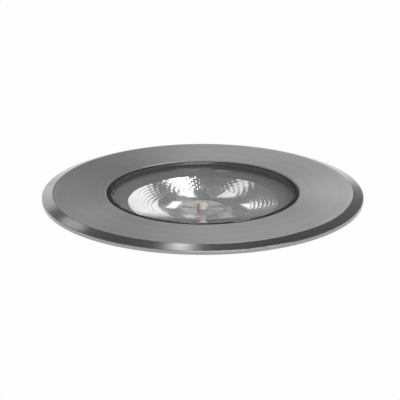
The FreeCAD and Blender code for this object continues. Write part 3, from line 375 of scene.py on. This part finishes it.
def dress_frame():
    """Gives every piece of the frame its finish."""
    steel = plain_metal("pressed_steel", (0.42, 0.42, 0.425), (0.52, 0.52, 0.525), 0.3)
    screws = plain_metal("screw_steel", 0.5, 0.6, 0.24, scale=1600.0)
    rubber = moulded("black_rubber", 0.008, 0.014, 0.62, Specular_IOR_Level=0.22)
    cast = cast_coat()
    nickel = plain_metal("nickel", (0.5, 0.48, 0.44), (0.62, 0.6, 0.56), 0.22)
    finishes = {
        "trim_ring": turned_steel(),
        "glass_lens": clear_glass("lamp_glass", GLASS_RADIUS, GLASS_TINT, GLASS_IOR),
        "mask_ring": moulded("mask_paint", 0.12, 0.14),
        "reflector": mirror_finish(),
        "led_lens": clear_glass("clear_plastic", LENS_RADIUS, PLASTIC_TINT, PLASTIC_IOR),
        "led_chip": phosphor(),
        "led_board": moulded("solder_mask", (0.5, 0.5, 0.49), (0.6, 0.6, 0.59), 0.4),
        "thermal_pad": moulded("silicone_pad", (0.2, 0.22, 0.26), (0.25, 0.27, 0.3), 0.6),
        "driver": moulded("driver_case", (0.02, 0.02, 0.022), (0.03, 0.03, 0.032), 0.45),
        "terminal_block": moulded("polyamide", (0.5, 0.5, 0.47), (0.58, 0.58, 0.55), 0.4),
        "supply_wires": moulded("brown_wire", (0.12, 0.05, 0.02), (0.15, 0.07, 0.03), 0.35),
        "led_wires": moulded("red_wire", (0.45, 0.02, 0.02), (0.5, 0.03, 0.03), 0.35),
        "earth_wire": moulded("green_wire", (0.1, 0.35, 0.04), (0.14, 0.4, 0.05), 0.35),
        "pressure_vent": moulded("vent_black", 0.02, 0.03),
        "installation_sleeve": moulded("sleeve_black", (0.02, 0.02, 0.021),
                                       (0.032, 0.032, 0.034), scale=1100.0, relief=0.00008),
        "claw_brackets": steel,
    }
    for material, names in (
            (rubber, ("glass_gasket", "seat_gasket", "cover_oring", "gland_washer",
                      "gland_seal", "conduit_grommet", "wire_bush")),
            (cast, ("housing", "bottom_cover")),
            (nickel, ("earth_lug", "gland_body", "gland_locknut", "gland_nut"))):
        finishes.update(dict.fromkeys(names, material))
    for name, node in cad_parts.items():
        material = finishes.get(name)
        if material is None:
            material = steel if name.startswith("claw_") else screws
        node.data.materials.clear()
        node.data.materials.append(material)


# ---- pieces that replace plain solids ----------------------------------------------

def close_mesh(mesh):
    """Joins points that lie in the same place, and turns every face outwards."""
    work = bmesh.new()
    work.from_mesh(mesh)
    bmesh.ops.remove_doubles(work, verts=work.verts, dist=WELD_DISTANCE)
    bmesh.ops.recalc_face_normals(work, faces=work.faces)
    work.to_mesh(mesh)
    work.free()


def new_piece(name, points, faces, material, node, creases=()):
    """A smooth mesh piece that rides with the lamp in place of one of its nodes."""
    mesh = bpy.data.meshes.new(name)
    mesh.from_pydata(points, [], faces)
    mesh.polygons.foreach_set("use_smooth", [True] * len(mesh.polygons))
    sharp = set(creases)
    for edge in mesh.edges:
        edge.use_edge_sharp = tuple(sorted(edge.vertices)) in sharp
    close_mesh(mesh)
    mesh.materials.append(material)
    piece = bpy.data.objects.new(name, mesh)
    bpy.context.scene.collection.objects.link(piece)
    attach(piece, "lamp")
    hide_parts(node)


def ring_point(radius, height, turn, around):
    """One of the points evenly spaced on a circle about the lamp's axis."""
    angle = 2 * math.pi * turn / around
    return radius * math.cos(angle), radius * math.sin(angle), height


def ring_faces(rings, around, closed=True):
    """Quads between neighbouring rings of points, and from the last to the first."""
    faces = []
    for ring in range(rings if closed else rings - 1):
        low = ring * around
        high = (ring + 1) % rings * around
        for step in range(around):
            after = (step + 1) % around
            faces.append((low + step, low + after, high + after, high + step))
    return faces


def bowl_height(radius):
    """Height of the reflector's bright side at a distance from the axis."""
    first = Vector((APERTURE_RADIUS, MOUTH_TOP - BOWL_DEPTH))
    last = Vector((MOUTH_RADIUS, MOUTH_TOP))
    chord = last - first
    rise = math.sqrt(BOWL_CURVE ** 2 - (chord.length / 2) ** 2)
    centre = (first + last) / 2 + Vector((-chord.y, chord.x)).normalized() * rise
    return centre.y - math.sqrt(BOWL_CURVE ** 2 - (radius - centre.x) ** 2)


def make_reflector(material):
    """Bright bowl: smooth inside, and rows of small pillowed facets outside."""
    around = FACETS_ROUND * FACET_STEPS
    row_width = (MOUTH_RADIUS - FACET_START) / FACET_ROWS
    rings = []          # one list of (radius, height) points for each ring
    creases = []        # ring, turn, ring, turn of each sharp edge

    def add_ring(radius, height, sharp=False):
        if sharp:
            creases.extend((len(rings), turn, len(rings), turn + 1) for turn in range(around))
        rings.append([(radius, height)] * around)

    for step in range(BOWL_STEPS):
        radius = APERTURE_RADIUS + (FACET_START - APERTURE_RADIUS) * step / BOWL_STEPS
        add_ring(radius, bowl_height(radius), sharp=step == 0)
    for row in range(FACET_ROWS):
        shift = FACET_STEPS // 2 * (row % 2)
        for step in range(FACET_STEPS + 1):
            across = 2 * step / FACET_STEPS - 1
            radius = FACET_START + row_width * (row + step / FACET_STEPS)
            if step:
                creases.extend((len(rings) - 1, turn, len(rings), turn)
                               for turn in range(around) if (turn + shift) % FACET_STEPS == 0)
            add_ring(radius, bowl_height(radius), sharp=step in (0, FACET_STEPS))
            for turn in range(around):
                along = 2 * ((turn + shift) % FACET_STEPS) / FACET_STEPS - 1
                crown = FACET_CROWN * (1 - (across ** 4 + along ** 4) / 2)
                rings[-1][turn] = (radius, bowl_height(radius) + crown)
    under = MOUTH_TOP - FLANGE_DROP
    for radius, height in ((MOUTH_RADIUS, MOUTH_TOP), (MOUTH_RADIUS + MOUTH_LINE, MOUTH_TOP),
                           (MOUTH_RADIUS + MOUTH_LINE, under), (FLANGE_REACH, under),
                           (FLANGE_REACH, under - FLANGE_SKIN),
                           (MOUTH_RADIUS, under - FLANGE_SKIN)):
        add_ring(radius, height, sharp=True)
    for step in range(UNDER_STEPS + 1):
        radius = MOUTH_RADIUS + (FOOT_RADIUS - MOUTH_RADIUS) * step / UNDER_STEPS
        add_ring(radius, bowl_height(radius) - BOWL_SKIN)
    for radius in (FOOT_RADIUS, APERTURE_RADIUS):
        add_ring(radius, BOARD_TOP, sharp=True)
    points = [ring_point(radius, height, turn, around)
              for ring in rings for turn, (radius, height) in enumerate(ring)]
    sharp = [tuple(sorted((first * around + start % around, last * around + end % around)))
             for first, start, last, end in creases]
    new_piece("faceted_reflector", points, ring_faces(len(rings), around), material,
              "reflector", sharp)


def make_lens(material):
    """Clear disc with faint moulded ridges and a dome bonded over the chip."""
    bond = BOARD_TOP - BOND_DEPTH
    seat = BOARD_TOP + SEAT_GAP
    flat = LENS_TOP - DOME_HEIGHT
    profile = [(0.0, bond), (BOND_RADIUS, bond), (BOND_RADIUS, seat), (LENS_RADIUS, seat)]
    profile += [(LENS_RADIUS - inwards, flat - down) for inwards, down in LENS_RIM]
    width = (LENS_RADIUS - RIDGE_MARGIN - DOME_RADIUS) / LENS_RIDGES
    for step in range(LENS_RIDGES * RIDGE_STEPS, -1, -1):
        radius = DOME_RADIUS + RIDGE_START + width * step / RIDGE_STEPS
        wave = 0.5 - 0.5 * math.cos(2 * math.pi * step / RIDGE_STEPS)
        profile.append((radius, flat - RIDGE_HEIGHT * wave))
    curve = (DOME_RADIUS ** 2 + DOME_HEIGHT ** 2) / (2 * DOME_HEIGHT)
    reach = math.asin(DOME_RADIUS / curve)
    for step in range(DOME_STEPS + 1):
        angle = reach * (1 - step / DOME_STEPS)
        profile.append((curve * math.sin(angle), LENS_TOP - curve + curve * math.cos(angle)))
    points = [ring_point(radius, height, turn, AROUND)
              for radius, height in profile for turn in range(AROUND)]
    new_piece("clear_lens", points, ring_faces(len(profile), AROUND, closed=False), material,
              "led_lens")


def make_pieces():
    """The pieces whose looks need more than the frame's own solids."""
    make_reflector(mirror_finish())
    make_lens(clear_glass("lens_plastic", LENS_RADIUS, PLASTIC_TINT, PLASTIC_IOR))


# ---- stage, light and camera -------------------------------------------------------

def white_ground():
    """White for the camera, metal and glass, with the object's soft shadow left on it."""
    material, nodes = new_material("white_ground")
    lit = nodes.add("BsdfDiffuse", Color=colour(0.8))
    glow = nodes.add("Emission", Color=colour(1.0), Strength=1.0)
    path = nodes.add("LightPath")
    seen = nodes.math("MAXIMUM", path.outputs["Is Camera Ray"], path.outputs["Is Glossy Ray"])
    seen = nodes.math("MAXIMUM", seen, path.outputs["Is Transmission Ray"])
    share = nodes.math("MULTIPLY", seen, WHITE_SHARE)
    nodes.add("OutputMaterial", Surface=nodes.blend(share, lit, glow))
    return material


def make_floor():
    """White ground, level with the flange's underside, with a round hole for the sleeve.

    The lamp is sunk in it as in use, so the floor is the same from every side.
    """
    points = [ring_point(radius, GROUND_LEVEL, turn, AROUND)
              for radius in (SLEEVE_RADIUS + HOLE_GAP, GROUND_REACH) for turn in range(AROUND)]
    mesh = bpy.data.meshes.new("floor")
    mesh.from_pydata(points, [], ring_faces(2, AROUND, closed=False))
    mesh.materials.append(white_ground())
    floor = bpy.data.objects.new("floor", mesh)
    bpy.context.scene.collection.objects.link(floor)


def sky(azimuth, elevation):
    """Direction of a place in the room: azimuth from the back towards the right."""
    turn, rise = math.radians(azimuth), math.radians(elevation)
    return Vector((math.sin(turn) * math.cos(rise), math.cos(turn) * math.cos(rise),
                   math.sin(rise)))


def softbox(name, azimuth, elevation, wide, tall, radiance, roll):
    """A flat soft lamp that faces the object and spans two angles, in degrees."""
    light = bpy.data.lights.new(name, "AREA")
    light.shape = "RECTANGLE"
    light.size = 2 * LAMP_DISTANCE * math.tan(math.radians(wide) / 2)
    light.size_y = 2 * LAMP_DISTANCE * math.tan(math.radians(tall) / 2)
    light.energy = radiance * math.pi * light.size * light.size_y
    lamp = bpy.data.objects.new(name, light)
    lamp.location = sky(azimuth, elevation) * LAMP_DISTANCE
    lamp.rotation_mode = "QUATERNION"
    facing = (-lamp.location).to_track_quat("-Z", "Y")
    lamp.rotation_quaternion = facing @ Quaternion((0.0, 0.0, 1.0), math.radians(roll))
    bpy.context.scene.collection.objects.link(lamp)


def make_world():
    """A studio that is white low down all round, and dim overhead."""
    world = bpy.data.worlds.new("studio")
    bpy.context.scene.world = world
    world.use_nodes = True
    nodes = Nodes(world.node_tree)
    height = split(nodes, nodes.add("TexCoord").outputs["Generated"])[2]
    studio = nodes.ramp(nodes.math("MAXIMUM", height, 0.0), ROOM)
    room = nodes.add("Background", Color=studio, Strength=1.0)
    nodes.add("OutputWorld", Surface=room.outputs[0])


def make_camera():
    """The photograph's view: from the front, a little above, with a long lens."""
    data = bpy.data.cameras.new("camera")
    data.lens = LENS_MM
    data.sensor_width = SENSOR_MM
    data.shift_x = (PICTURE_PIXELS / 2 - ORIGIN_PIXEL[0]) / PICTURE_PIXELS
    data.shift_y = (ORIGIN_PIXEL[1] - PICTURE_PIXELS / 2) / PICTURE_PIXELS
    camera = bpy.data.objects.new("camera", data)
    back = Vector((0.0, -math.cos(VIEW_ELEVATION), math.sin(VIEW_ELEVATION)))
    camera.location = back * VIEW_DISTANCE
    camera.rotation_mode = "QUATERNION"
    camera.rotation_quaternion = (-back).to_track_quat("-Z", "Y")
    bpy.context.scene.collection.objects.link(camera)
    bpy.context.scene.camera = camera


dress_frame()
make_pieces()
make_floor()
for soft_box in SOFT_BOXES:
    softbox(*soft_box)
make_world()
make_camera()
bpy.context.scene.view_settings.view_transform = "Standard"
